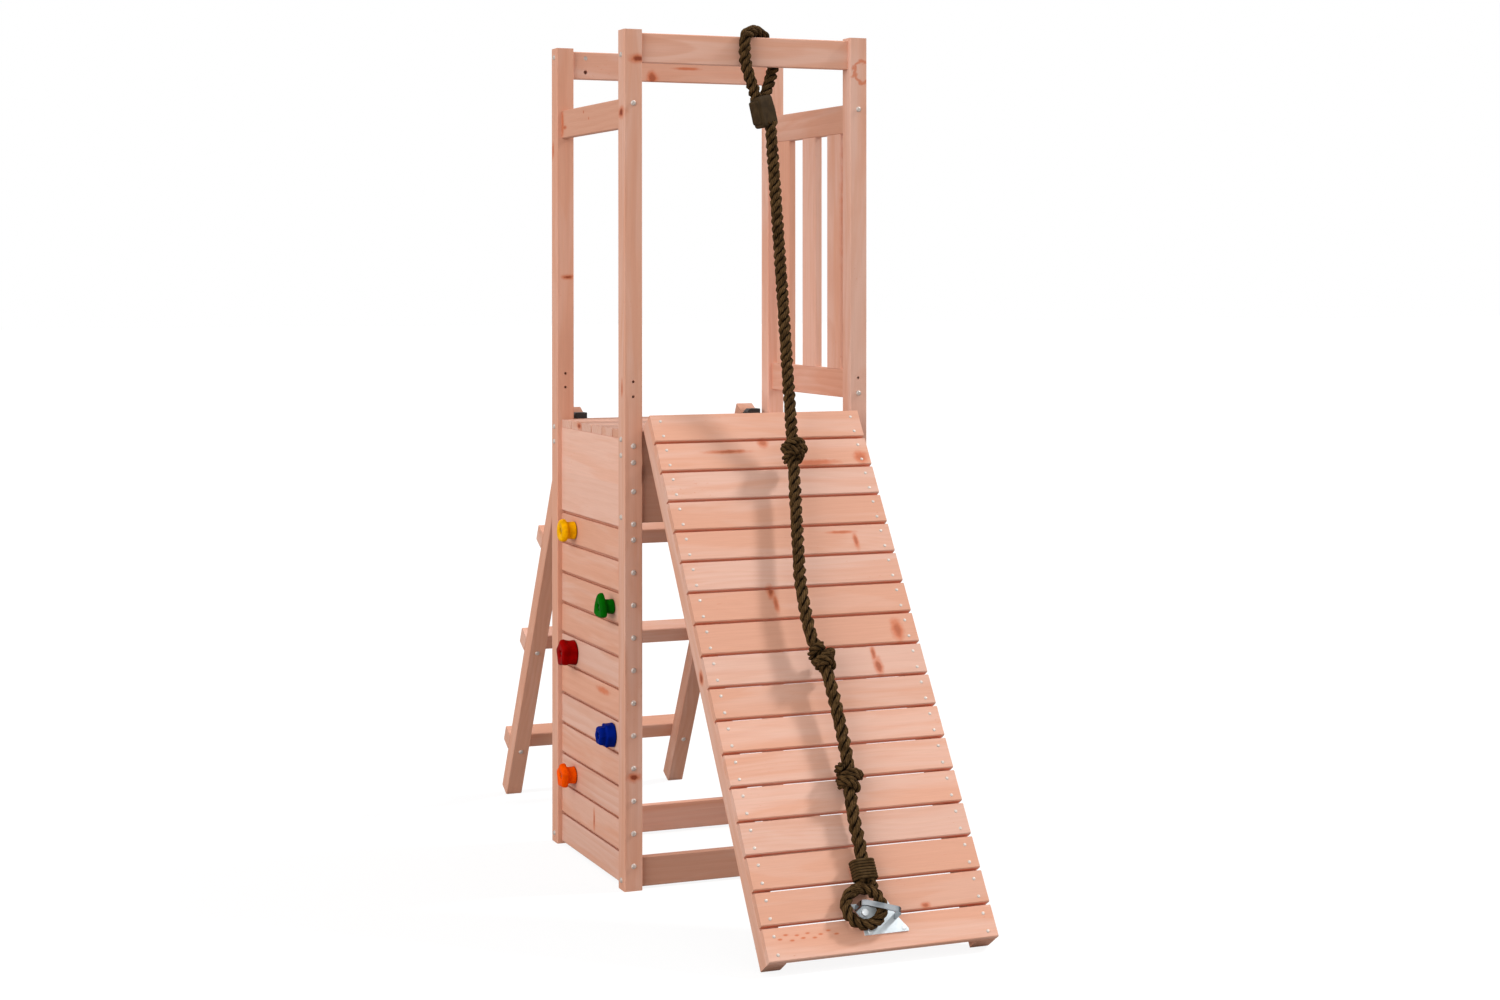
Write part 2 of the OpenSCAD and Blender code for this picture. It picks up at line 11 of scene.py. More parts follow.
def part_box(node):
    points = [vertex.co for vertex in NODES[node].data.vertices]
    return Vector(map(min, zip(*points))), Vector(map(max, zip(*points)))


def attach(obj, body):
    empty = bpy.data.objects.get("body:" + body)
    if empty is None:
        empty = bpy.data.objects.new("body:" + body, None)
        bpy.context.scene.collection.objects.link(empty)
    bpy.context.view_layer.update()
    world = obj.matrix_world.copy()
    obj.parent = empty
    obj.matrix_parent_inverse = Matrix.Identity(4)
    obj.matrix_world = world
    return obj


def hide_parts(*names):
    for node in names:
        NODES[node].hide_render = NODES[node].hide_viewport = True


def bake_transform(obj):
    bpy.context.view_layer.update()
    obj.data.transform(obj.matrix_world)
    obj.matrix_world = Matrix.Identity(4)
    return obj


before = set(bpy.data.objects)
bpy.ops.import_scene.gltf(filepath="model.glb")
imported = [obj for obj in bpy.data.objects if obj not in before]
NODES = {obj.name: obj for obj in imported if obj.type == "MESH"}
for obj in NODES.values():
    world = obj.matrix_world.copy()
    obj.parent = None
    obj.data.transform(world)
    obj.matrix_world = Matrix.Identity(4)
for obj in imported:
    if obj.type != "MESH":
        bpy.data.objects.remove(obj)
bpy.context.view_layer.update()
MM = 0.001


# ---------- places taken from the frame ----------

RAMP_LOW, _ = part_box("ramp_slats")
SLAT_WIDTH = 71 * MM
SLAT_PITCH = 77.5 * MM
SLAT_THICK = 18 * MM
RAMP_ANGLE = math.radians(56.3)
SLOPE = np.array([0, math.cos(RAMP_ANGLE), math.sin(RAMP_ANGLE)])
FACE = np.array([0, -math.sin(RAMP_ANGLE), math.cos(RAMP_ANGLE)])
# the foot of the ramp's face: the outermost corner of the lowest slat
RAMP_FOOT = np.array([0, RAMP_LOW.y, RAMP_LOW.z + SLAT_THICK * math.cos(RAMP_ANGLE)])
BEAM_LOW, BEAM_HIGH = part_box("beam_front")
BEAM_Y = (BEAM_LOW.y + BEAM_HIGH.y) / 2


def on_ramp(x, along, lift):
    """Point over the ramp's face, in metres: sideways, up the slope, off the face."""
    return np.array([x, 0, 0]) + RAMP_FOOT + along * SLOPE + lift * FACE


# ---------- node helpers ----------

class Tree:
    """Short calls for building a shader node tree."""

    def __init__(self, name):
        self.material = bpy.data.materials.new(name)
        self.material.use_nodes = True
        self.nodes = self.material.node_tree.nodes
        self.links = self.material.node_tree.links
        self.nodes.clear()
        self.out = self.nodes.new("ShaderNodeOutputMaterial")
        self.surface = self.nodes.new("ShaderNodeBsdfPrincipled")
        self.links.new(self.surface.outputs[0], self.out.inputs[0])

    def put(self, socket, value):
        if hasattr(value, "is_output"):
            self.links.new(value, socket)
        else:
            if hasattr(socket.default_value, "__len__") and not hasattr(value, "__len__"):
                value = [value] * len(socket.default_value)
            if hasattr(value, "__len__") and len(value) == 3 and len(socket.default_value) == 4:
                value = (*value, 1)
            socket.default_value = value

    def math(self, operation, a, b=0.0, c=0.0, clamp=False):
        node = self.nodes.new("ShaderNodeMath")
        node.operation = operation
        node.use_clamp = clamp
        for socket, value in zip(node.inputs, (a, b, c)):
            self.put(socket, value)
        return node.outputs[0]

    def vector(self, operation, a, b=(0, 0, 0)):
        node = self.nodes.new("ShaderNodeVectorMath")
        node.operation = operation
        self.put(node.inputs[0], a)
        self.put(node.inputs[1], b)
        if operation in ("DOT_PRODUCT", "LENGTH"):
            return node.outputs["Value"]
        return node.outputs[0]

    def combine(self, x, y, z):
        node = self.nodes.new("ShaderNodeCombineXYZ")
        for socket, value in zip(node.inputs, (x, y, z)):
            self.put(socket, value)
        return node.outputs[0]

    def split(self, vector):
        node = self.nodes.new("ShaderNodeSeparateXYZ")
        self.put(node.inputs[0], vector)
        return node.outputs

    def noise(self, vector, scale=1.0, detail=2.0, rough=0.5, distortion=0.0):
        node = self.nodes.new("ShaderNodeTexNoise")
        self.put(node.inputs["Vector"], vector)
        node.inputs["Scale"].default_value = scale
        node.inputs["Detail"].default_value = detail
        node.inputs["Roughness"].default_value = rough
        node.inputs["Distortion"].default_value = distortion
        return node.outputs["Fac"]

    def cells(self, vector, scale):
        node = self.nodes.new("ShaderNodeTexVoronoi")
        self.put(node.inputs["Vector"], vector)
        node.inputs["Scale"].default_value = scale
        return node.outputs["Distance"]

    def ramp(self, value, low, high, start=0.0, end=1.0):
        """Smooth step of value from low..high to start..end."""
        node = self.nodes.new("ShaderNodeMapRange")
        node.interpolation_type = "SMOOTHSTEP"
        self.put(node.inputs["Value"], value)
        for name, setting in (("From Min", low), ("From Max", high), ("To Min", start), ("To Max", end)):
            self.put(node.inputs[name], setting)
        return node.outputs["Result"]

    def mix(self, factor, a, b):
        """Colour a at factor 0, colour b at factor 1."""
        node = self.nodes.new("ShaderNodeMix")
        node.data_type = "RGBA"
        self.put(node.inputs["Factor"], factor)
        # sockets 6, 7 and 2 are the colour ones among the node's float, vector and colour sockets
        self.put(node.inputs[6], a)
        self.put(node.inputs[7], b)
        return node.outputs[2]

    def tint(self, colour, hue=0.5, saturation=1.0, value=1.0):
        node = self.nodes.new("ShaderNodeHueSaturation")
        self.put(node.inputs["Color"], colour)
        self.put(node.inputs["Hue"], hue)
        self.put(node.inputs["Saturation"], saturation)
        self.put(node.inputs["Value"], value)
        return node.outputs[0]

    def bump(self, height, strength, distance):
        node = self.nodes.new("ShaderNodeBump")
        node.inputs["Strength"].default_value = strength
        node.inputs["Distance"].default_value = distance
        self.put(node.inputs["Height"], height)
        return node.outputs[0]

    def coordinates(self, output="Object"):
        """Object coordinates are metres in the shared frame; UV is only on the rope's pieces."""
        return self.nodes.new("ShaderNodeTexCoord").outputs[output]

    def chance(self, number):
        """Three random values between 0 and 1 that belong to a number."""
        node = self.nodes.new("ShaderNodeTexWhiteNoise")
        node.noise_dimensions = "1D"
        self.put(node.inputs["W"], number)
        return self.split(node.outputs["Color"])

    def shade_mask(self, distance):
        """Mask for painted shade in gaps narrower than the distance: 0 deep inside, 1 in the open."""
        node = self.nodes.new("ShaderNodeAmbientOcclusion")
        node.samples = 6
        node.inputs["Distance"].default_value = distance
        return node.outputs["AO"]

    def edge(self, radius):
        """1 on edges and corners, 0 on flats, from a bevelled normal."""
        bevel = self.nodes.new("ShaderNodeBevel")
        bevel.samples = 4
        bevel.inputs["Radius"].default_value = radius
        normal = self.nodes.new("ShaderNodeNewGeometry").outputs["Normal"]
        return self.ramp(self.vector("DOT_PRODUCT", bevel.outputs[0], normal), 0.995, 0.90)

    def finish(self, colour, rough, normal=None, **settings):
        self.put(self.surface.inputs["Base Color"], colour)
        self.put(self.surface.inputs["Roughness"], rough)
        if normal is not None:
            self.links.new(normal, self.surface.inputs["Normal"])
        for name, value in settings.items():
            self.put(self.surface.inputs[name.replace("_", " ")], value)
        return self.material


# ---------- wood ----------

# linear colours
PALE_WOOD = (0.655, 0.390, 0.300)
ROSE_WOOD = (0.625, 0.315, 0.212)
LATE_WOOD = (0.560, 0.245, 0.150)
# the stain colour also serves as the painted shade in the deck's gaps
STAIN_AND_GAP_SHADE = (0.540, 0.130, 0.045)
KNOT_WOOD = (0.210, 0.030, 0.008)
# painted shade colours of narrow gaps: dark red-brown for the wall's grooves, lighter and redder for the
# ramp's slits
PAINTED_GROOVE_SHADE = (0.400, 0.120, 0.065)
PAINTED_SLIT_SHADE = (0.850, 0.290, 0.165)
RING_PITCH = 12.5 * MM
PITH_SIDE = 110 * MM
PITH_DEEP = 190 * MM


def board_space(t, along, across, through):
    """Object position turned so that its first axis runs with the grain."""
    p = t.coordinates()
    return t.combine(*(t.vector("DOT_PRODUCT", p, tuple(axis)) for axis in (along, across, through)))


def knot(place, half, core=1.0, ring=0.0):
    """A knot at a place, both in board space: strength of its dark core and of its outer ring."""
    return place, half, core, ring


def placed_marks(t, board, marks):
    """Masks of the dark cores and of the red stains of knots at chosen places."""
    wobble = t.math("SUBTRACT", t.noise(board, 70, 3), 0.5)
    cores, stains = 0.0, 0.0
    for place, half, core, ring in marks:
        away = t.vector("DIVIDE", t.vector("SUBTRACT", board, tuple(place)), tuple(half))
        near = t.math("MULTIPLY_ADD", wobble, 1.1, t.vector("LENGTH", away))
        if core:
            cores = t.math("MAXIMUM", cores, t.ramp(near, 1.0, 0.35, 0.0, core))
        if ring:
            band = t.math("ABSOLUTE", t.math("SUBTRACT", near, 1.0))
            stains = t.math("MAXIMUM", stains, t.ramp(band, 0.30, 0.05, 0.0, ring))
        else:
            stains = t.math("MAXIMUM", stains, t.ramp(near, 2.0, 0.6, 0.0, 1.0))
    return cores, stains


def wood(name, along, across, through, value=1.0, rows=None, marks=(), seed=0.0, contrast=1.0, lean=0.0,
         gap_shade=0.0, gap_shade_colour=PAINTED_GROOVE_SHADE):
    """Planed softwood: soft growth rings, streaks, fibres, chosen knots and a painted highlight on its
    edges.

    value = brightness, contrast = strength of the rings, lean = how far the tone leans to rose.
    rows = (axis of board space, start, pitch) when one node holds a row of equal boards.
    the last two arguments = how much painted shade narrow gaps take on, and its colour.
    """
    t = Tree(name)
    place = board_space(t, along, across, through)
    number = seed
    if rows is not None:
        axis, start, pitch = rows
        number = t.math("FLOOR", t.math("DIVIDE", t.math("SUBTRACT", t.split(place)[axis], start), pitch))
        number = t.math("ADD", number, seed)
    first, second, third = t.chance(number)
    shift = t.combine(t.math("MULTIPLY", first, 37.0), t.math("MULTIPLY", second, 3.7),
                      t.math("MULTIPLY", third, 5.3))
    board = t.vector("ADD", place, shift)
    core, stain = 0.0, 0.0
    if marks:
        core, stain = placed_marks(t, place, marks)
    # growth rings about a pith that wanders along the board
    slow = t.noise(t.vector("MULTIPLY", board, (1.6, 5.0, 5.0)), 1.0, 2.0)
    sway = t.math("MULTIPLY", t.math("SUBTRACT", slow, 0.5), PITH_SIDE)
    parts = t.split(board)
    side = t.math("PINGPONG", t.math("ADD", parts[1], sway), PITH_SIDE)
    deep = t.math("PINGPONG", t.math("ADD", parts[2], sway), PITH_DEEP)
    radius = t.vector("LENGTH", t.combine(0.0, side, t.math("MULTIPLY", deep, 0.75)))
    radius = t.math("MULTIPLY_ADD", stain, 0.008, radius)
    fine = t.noise(t.vector("MULTIPLY", board, (2.5, 40.0, 40.0)), 1.0, 3.0)
    radius = t.math("MULTIPLY_ADD", t.math("SUBTRACT", fine, 0.5), 0.004, radius)
    ring = t.math("FRACT", t.math("DIVIDE", radius, RING_PITCH))
    late = t.math("MULTIPLY", t.ramp(ring, 0.10, 0.78), t.ramp(ring, 1.0, 0.84))
    # broad streaks, patches that fade the rings, and fine fibre
    streak = t.noise(t.vector("MULTIPLY", board, (2.2, 17.0, 17.0)), 1.0, 3.0, 0.55, 0.7)
    patch = t.noise(t.vector("MULTIPLY", board, (2.2, 7.0, 7.0)), 1.0, 2.0)
    fibre = t.noise(t.vector("MULTIPLY", board, (12.0, 420.0, 420.0)), 1.0, 3.0, 0.6)
    tone = t.math("MULTIPLY_ADD", third, 1.3, lean - 0.12)
    tone = t.math("ADD", t.ramp(streak, 0.34, 0.66, -0.50, 0.50), tone)
    colour = t.mix(t.math("MULTIPLY", tone, 1.0, clamp=True), PALE_WOOD, ROSE_WOOD)
    strength = t.ramp(patch, 0.30, 0.72, 0.10 * contrast, 0.42 * contrast)
    colour = t.mix(t.math("MULTIPLY", late, strength), colour, LATE_WOOD)
    dots = t.noise(t.vector("MULTIPLY", board, (110.0, 330.0, 330.0)), 1.0, 1.0)
    where = t.ramp(t.noise(board, 5.5, 1.0), 0.54, 0.68, 0.0, 0.42)
    specks = t.math("MULTIPLY", t.ramp(dots, 0.69, 0.78), where)
    colour = t.mix(specks, colour, STAIN_AND_GAP_SHADE)
    colour = t.mix(t.math("MULTIPLY", stain, 0.80), colour, STAIN_AND_GAP_SHADE)
    colour = t.mix(t.math("MULTIPLY", core, 0.9), colour, KNOT_WOOD)
    bright = t.ramp(second, 0.0, 1.0, 0.965 * value, 1.035 * value)
    bright = t.math("MULTIPLY", bright, t.ramp(fibre, 0.2, 0.8, 0.965, 1.03))
    # painted highlight: edges and corners up to 5% lighter
    bright = t.math("MULTIPLY", bright, t.math("MULTIPLY_ADD", t.edge(0.002), 0.05, 1.0))
    colour = t.tint(colour, 0.5, 1.0, bright)
    # painted shade: narrow gaps that light hardly reaches take on the gap colour
    if gap_shade:
        colour = t.mix(t.ramp(t.shade_mask(0.010), 0.72, 0.28, 0.0, gap_shade), colour, gap_shade_colour)
    height = t.math("ADD", t.math("MULTIPLY", late, 0.35), t.math("MULTIPLY", fibre, 0.65))
    height = t.math("SUBTRACT", height, t.math("MULTIPLY", core, 0.6))
    rough = t.ramp(t.math("MULTIPLY_ADD", late, 0.3, fibre), 0.2, 1.1, 0.70, 0.56)
    return t.finish(colour, rough, t.bump(height, 0.30, 0.0004), Specular_IOR_Level=0.25)


# ---------- other materials ----------

def zinc():
    """Dull zinc plate with a faint spangle."""
    t = Tree("zinc_steel")
    p = t.coordinates()
    cloud = t.noise(p, 260, 3)
    spangle = t.cells(p, 420)
    colour = t.mix(t.ramp(cloud, 0.3, 0.7), (0.53, 0.455, 0.405), (0.68, 0.60, 0.54))
    colour = t.mix(t.math("MULTIPLY", t.ramp(spangle, 0.2, 0.6), 0.25), colour, (0.42, 0.36, 0.32))
    rough = t.ramp(cloud, 0.3, 0.7, 0.52, 0.40)
    return t.finish(colour, rough, t.bump(spangle, 0.12, 0.0002), Metallic=0.35)


def plate_steel(name, dark, light):
    """Brushed, bright-plated steel."""
    t = Tree(name)
    p = t.coordinates()
    cloud = t.noise(p, 60, 3)
    brushed = t.noise(t.vector("MULTIPLY", p, (60.0, 900.0, 900.0)), 1.0, 2.0)
    colour = t.mix(t.ramp(cloud, 0.3, 0.7), dark, light)
    rough = t.ramp(brushed, 0.3, 0.7, 0.36, 0.48)
    return t.finish(colour, rough, t.bump(brushed, 0.06, 0.0001), Metallic=0.45)


def chrome():
    """Polished, slightly smeared steel of the bow."""
    t = Tree("anchor_chrome")
    p = t.coordinates()
    smear = t.noise(t.vector("MULTIPLY", p, (900.0, 60.0, 60.0)), 1.0, 2.0)
    cloud = t.noise(p, 40, 2)
    colour = t.mix(t.ramp(cloud, 0.35, 0.7), (0.40, 0.42, 0.44), (0.20, 0.22, 0.24))
    rough = t.ramp(smear, 0.3, 0.7, 0.08, 0.18)
    return t.finish(colour, rough, t.bump(smear, 0.05, 0.0001), Metallic=1.0)


def black_coat():
    """Grainy black coating with a painted highlight in lighter grey along its edges."""
    t = Tree("black_steel")
    p = t.coordinates()
    grain = t.noise(p, 900, 2)
    edge_highlight = t.edge(0.0015)
    colour = t.mix(t.ramp(grain, 0.3, 0.7), (0.018, 0.019, 0.019), (0.040, 0.042, 0.042))
    # painted highlight: lighter grey along the edges
    colour = t.mix(t.math("MULTIPLY", edge_highlight, 0.35), colour, (0.16, 0.16, 0.155))
    return t.finish(colour, t.ramp(grain, 0.3, 0.7, 0.42, 0.58), t.bump(grain, 0.3, 0.0002))


def plastic(name, colour):
    """Moulded resin of a climbing hold: slight mottling, fine moulded grain, a painted highlight on its
    edges and painted shade in its recesses.
    """
    t = Tree(name)
    p = t.coordinates()
    cloud = t.noise(p, 45, 3)
    grain = t.noise(p, 1400, 2)
    dark = tuple(c * 0.78 for c in colour)
    light = tuple(min(1.0, c * 1.15) for c in colour)
    shade = t.mix(t.ramp(cloud, 0.3, 0.7), dark, light)
    # painted highlight: edges lighter
    shade = t.mix(t.math("MULTIPLY", t.edge(0.002), 0.3), shade, light)
    # painted shade: recesses darken towards a near-black of the colour
    shade = t.mix(t.ramp(t.shade_mask(0.012), 0.75, 0.25, 0.0, 0.75), shade, tuple(c * 0.12 for c in colour))
    rough = t.ramp(cloud, 0.3, 0.7, 0.40, 0.52)
    return t.finish(shade, rough, t.bump(grain, 0.25, 0.0003), Specular_IOR_Level=0.02)


def fibre_rope(name, dark, light, twist=95.0, shade=0.92):
    """Laid fibre: yarns wound round each strand, with loose fibres, painted shade between the yarns and
    between the strands.
    """
    t = Tree(name)
    uv = t.split(t.coordinates("UV"))
    wind = t.math("ADD", t.math("MULTIPLY", uv[0], twist), t.math("MULTIPLY", uv[1], 7.0))
    yarn = t.math("SINE", t.math("MULTIPLY", wind, 2 * math.pi))
    p = t.coordinates()
    cloud = t.noise(p, 70, 3)
    loose = t.combine(t.math("MULTIPLY", uv[0], 260.0), t.math("MULTIPLY", wind, 2.0), 0.0)
    hair = t.noise(loose, 1.0, 3.0, 0.7)
    base = t.mix(t.ramp(cloud, 0.25, 0.75), dark, light)
    # painted shade in the troughs between the yarns
    base = t.mix(t.ramp(yarn, -1.0, 0.2, 0.60, 0.0), base, tuple(c * 0.30 for c in dark))
    base = t.mix(t.math("MULTIPLY", t.ramp(hair, 0.56, 0.80), 0.6), base, tuple(c * 2.2 for c in light))
    # painted shade between the strands and in the knots' crevices
    base = t.mix(t.ramp(t.shade_mask(0.008), 0.85, 0.35, 0.0, shade), base, tuple(c * 0.22 for c in dark))
    height = t.math("MULTIPLY_ADD", yarn, 0.6, hair)
    return t.finish(base, 0.92, t.bump(height, 0.9, 0.0012), Specular_IOR_Level=0.08)


def moulded_clamp():
    """Dark olive-brown plastic with fine upright lines and painted shade in its recesses."""
    t = Tree("dark_plastic")
    p = t.coordinates()
    lines = t.noise(t.vector("MULTIPLY", p, (420.0, 420.0, 26.0)), 1.0, 3.0)
    cloud = t.noise(p, 60, 2)
    colour = t.mix(t.ramp(cloud, 0.3, 0.7), (0.030, 0.0170, 0.0062), (0.050, 0.0290, 0.0115))
    colour = t.mix(t.ramp(lines, 0.5, 0.75, 0.0, 0.5), colour, (0.082, 0.049, 0.021))
    # painted shade in the recesses
    colour = t.mix(t.ramp(t.shade_mask(0.01), 0.8, 0.3, 0.0, 0.7), colour, (0.010, 0.007, 0.003))
    return t.finish(colour, t.ramp(lines, 0.3, 0.7, 0.70, 0.84), t.bump(lines, 0.7, 0.0009),
                    Specular_IOR_Level=0.12)


# ---------- mesh helpers ----------

def new_object(name, verts, faces, material, uv=None):
    """Smooth-shaded object from plain lists, linked to the scene."""
    mesh = bpy.data.meshes.new(name)
    mesh.from_pydata([tuple(v) for v in verts], [], [tuple(f) for f in faces])
    mesh.validate()
    if uv is not None:
        layer = mesh.uv_layers.new(name="UVMap")
        flat = np.array([c for f in uv for c in f], np.float32).ravel()
        layer.data.foreach_set("uv", flat)
    mesh.update()
    obj = bpy.data.objects.new(name, mesh)
    bpy.context.scene.collection.objects.link(obj)
    mesh.materials.append(material)
    mesh.polygons.foreach_set("use_smooth", [True] * len(mesh.polygons))
    return obj


def spline(points, step):
    """Smooth curve through the points, resampled to even steps."""
    p = np.array(points, float)
    p = np.vstack([2 * p[0] - p[1], p, 2 * p[-1] - p[-2]])
    dense = []
    for i in range(1, len(p) - 2):
        for s in np.linspace(0, 1, 40, endpoint=False):
            a, b, c, d = p[i - 1], p[i], p[i + 1], p[i + 2]
            dense.append(0.5 * (2 * b + (c - a) * s + (2 * a - 5 * b + 4 * c - d) * s * s
                                + (3 * b - a - 3 * c + d) * s ** 3))
    dense.append(p[-2])
    return even(np.array(dense), step)


def even(path, step):
    """The same polyline with even steps."""
    gaps = np.linalg.norm(np.diff(path, axis=0), axis=1)
    run = np.concatenate([[0], np.cumsum(gaps)])
    count = max(4, int(run[-1] / step))
    marks = np.linspace(0, run[-1], count + 1)
    return np.array([np.interp(marks, run, path[:, k]) for k in range(3)]).T


# a direction that no path here starts along
ANY_SIDE = np.array([0.31, 0.17, 0.93])


def carried_frames(path):
    """Two directions across the path, carried along it without twisting."""
    tangent = np.gradient(path, axis=0)
    tangent /= np.linalg.norm(tangent, axis=1)[:, None]
    side = np.zeros_like(path)
    side[0] = ANY_SIDE - tangent[0] * (ANY_SIDE @ tangent[0])
    side[0] /= np.linalg.norm(side[0])
    for i in range(1, len(path)):
        s = side[i - 1] - tangent[i] * (side[i - 1] @ tangent[i])
        side[i] = s / np.linalg.norm(s)
    return side, np.cross(tangent, side)


def lengths(path):
    """Distance along the path of each of its points."""
    return np.concatenate([[0], np.cumsum(np.linalg.norm(np.diff(path, axis=0), axis=1))])


def tube(path, radius, sides=16, lobes=0, lobe_depth=0.0, lobe_twist=0.0):
    """Verts, faces and uv of a round, optionally ridged bar along a path, closed at its ends."""
    side, other = carried_frames(path)
    run = lengths(path)
    radius = np.broadcast_to(radius, (len(path),))
    angle = np.linspace(0, 2 * math.pi, sides, endpoint=False)
    verts, faces, uv = [], [], []
    for i in range(len(path)):
        wave = 1 + lobe_depth * np.cos(lobes * angle + lobe_twist * run[i])
        ring = radius[i] * wave
        across = np.outer(ring * np.cos(angle), side[i]) + np.outer(ring * np.sin(angle), other[i])
        verts.extend(path[i] + across)
    for i in range(len(path) - 1):
        for k in range(sides):
            a, b = i * sides + k, i * sides + (k + 1) % sides
            faces.append((a, b, b + sides, a + sides))
            u0, u1, v0, v1 = run[i], run[i + 1], k / sides, (k + 1) / sides
            uv.append(((u0, v0), (u0, v1), (u1, v1), (u1, v0)))
    last = (len(path) - 1) * sides
    faces.append(tuple(reversed(range(sides))))
    uv.append(tuple((0.0, k / sides) for k in range(sides)))
    faces.append(tuple(range(last, last + sides)))
    uv.append(tuple((run[-1], k / sides) for k in range(sides)))
    return np.array(verts), faces, uv


def join(pieces):
    """One set of verts, faces and uv from several."""
    verts, faces, uv, count = [], [], [], 0
    for v, f, t in pieces:
        verts.append(v)
        faces.extend(tuple(i + count for i in face) for face in f)
        uv.extend(t)
        count += len(v)
    return np.vstack(verts), faces, uv


STRANDS = 3
# shares of the rope's radius, and of its lay
STRAND_OFFSET = 0.62
STRAND_RADIUS = 0.44
CORE_RADIUS = 0.36
SWELL_DEPTH = 0.13
SWELL_PITCH = 0.21


def strands(path, radius, pitch, turn=0.0, sides=16):
    """Laid rope: strands wound round a thin core, each one uneven and ridged by its yarns."""
    side, other = carried_frames(path)
    run = lengths(path)
    offset = radius * STRAND_OFFSET
    ridge_twist = -2 * math.pi / (pitch * 0.55)
    pieces = []
    for k in range(STRANDS):
        angle = 2 * math.pi * (run / pitch + k / STRANDS) + turn
        line = path + side * (offset * np.cos(angle))[:, None] + other * (offset * np.sin(angle))[:, None]
        swell = 1 + SWELL_DEPTH * np.sin(2 * math.pi * (run / (pitch * SWELL_PITCH) + 0.37 * k))
        pieces.append(tube(line, radius * STRAND_RADIUS * swell, sides, 6, 0.09, ridge_twist))
    pieces.append(tube(path, radius * CORE_RADIUS, 8))
    return join(pieces)


# ---------- rope ----------

ROPE_R = 13.8 * MM
EYE_ROPE_R = 12.2 * MM
DARK_FIBRE = (0.040, 0.0190, 0.0053)
LIGHT_FIBRE = (0.130, 0.0710, 0.0262)
UPPER_LAY = 62 * MM
LOWER_LAY = 78 * MM
KNOT_SIZE = 30 * MM
TOP_KNOT = np.array([44, -454.5, 1035]) * MM
# bends of the taut lower rope: distance up the slope and sideways place, millimetres
BENDS = ((917, 0), (824, -15), (704, -19), (644, -4), (552, 2), (418, 1), (365, -7), (280, -14),
         (217, -14), (178, -17))
ROPE_LOW = 20 * MM
ROPE_HIGH = 50 * MM
WHIP_MIDDLE = 166
# direction from the rope to the camera, along which the knots' bights stand out
TO_CAMERA = np.array([0.34, -0.94, 0.0])


def bend_point(along, x):
    """Point of the taut rope, which rises off the slats on its way up."""
    share = (along - WHIP_MIDDLE) / (BENDS[0][0] - WHIP_MIDDLE)
    lift = ROPE_LOW + (ROPE_HIGH - ROPE_LOW) * math.sin(share * math.pi / 2)
    return on_ramp(x * MM, along * MM, lift)


def rope_course():
    """Centre line of the rope from its clamp to its whipping, in metres."""
    low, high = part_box("rope_ferrule")
    start = np.array([57, -290, 1800]) * MM
    points = [np.array([(low.x + high.x) / 2 + 14 * MM, low.y + 8 * MM, low.z + 12 * MM])]
    for share in np.linspace(0.02, 1.0, 6):
        bow = np.array([10 * MM, 22 * MM, 0]) * math.sin(math.pi * share)
        points.append(start + (TOP_KNOT - start) * share + bow)
    points.extend(bend_point(*bend) for bend in BENDS)
    return spline(points, 3.6 * MM)


def knot_path(middle, up, front, size, spin):
    """Three tilted wraps that narrow downwards, as in an overhand knot drawn tight."""
    up = np.array(up) / np.linalg.norm(up)
    side = np.cross(up, front)
    side /= np.linalg.norm(side)
    front = np.cross(side, up)
    share = np.linspace(0, 1, 170)
    angle = spin + 2 * math.pi * 3.2 * share
    ring = size * (0.76 - 0.18 * share + 0.06 * np.cos(2 * angle + spin))
    weave = 0.30 * np.sin(angle - spin + 0.8) * np.cos(2.4 * math.pi * share)
    lift = size * (0.62 - 1.15 * share + weave)
    return (np.array(middle) + np.outer(ring * np.cos(angle), side)
            + np.outer(ring * 0.88 * np.sin(angle), front) + np.outer(lift, up))


# course of the bight in knot sizes: sideways, up the rope, out of it
BIGHT = ((-0.3, 0.55, 0.55), (0.35, 0.68, 0.66), (1.00, 0.62, 0.35), (1.18, 0.34, 0.0))


def knot_coil(middle, up, front, spin):
    """The wraps of a knot with the blunt bight that stands out at its upper right."""
    wraps = even(knot_path(middle, up, front, KNOT_SIZE, spin), 2.4 * MM)
    up = np.array(up) / np.linalg.norm(up)
    side = np.cross(up, front)
    course = [middle + side * KNOT_SIZE * a + up * KNOT_SIZE * b + front * KNOT_SIZE * c
              for a, b, c in BIGHT]
    bight = spline(course, 2.4 * MM)
    return join([strands(wraps, 9.2 * MM, 40 * MM, spin, sides=12),
                 strands(bight, 9.0 * MM, 36 * MM, 2 * spin, sides=12)])


def nearest(path, point):
    """Number of the path's point that lies nearest to the given one."""
    return int(np.argmin(np.linalg.norm(path - np.array(point), axis=1)))


def rope_piece(name, parts, material):
    """One object of the rope's fibre from several tubes."""
    verts, faces, uv = join(parts)
    obj = new_object(name, verts, faces, material, uv)
    return obj


def rope_run(material):
    """The rope in two lengths that meet inside the top knot, each with its knots."""
    path = rope_course()
    cut = nearest(path, TOP_KNOT)
    run = lengths(path)
    upper = [strands(path[:cut + 3], ROPE_R, UPPER_LAY, 0.4)]
    coil = knot_coil(TOP_KNOT, path[cut - 6] - path[cut + 6], TO_CAMERA, 0.5)
    turn = 0.4 + 2 * math.pi * run[cut - 2] / UPPER_LAY
    lower = [strands(path[cut - 2:], ROPE_R, LOWER_LAY, turn)]
    for bend, spin in ((BENDS[3], 1.7), (BENDS[6], 2.9)):
        place = bend_point(*bend)
        i = nearest(path, place)
        lower.append(knot_coil(place, path[i - 6] - path[i + 6], TO_CAMERA, spin))
    up = rope_piece("rope_upper", upper, material)
    middle = rope_piece("rope_top_knot", [coil], material)
    down = rope_piece("rope_lower", lower, material)
    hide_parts("rope_run")
    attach(middle, "tower")
    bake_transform(up)
    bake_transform(down)


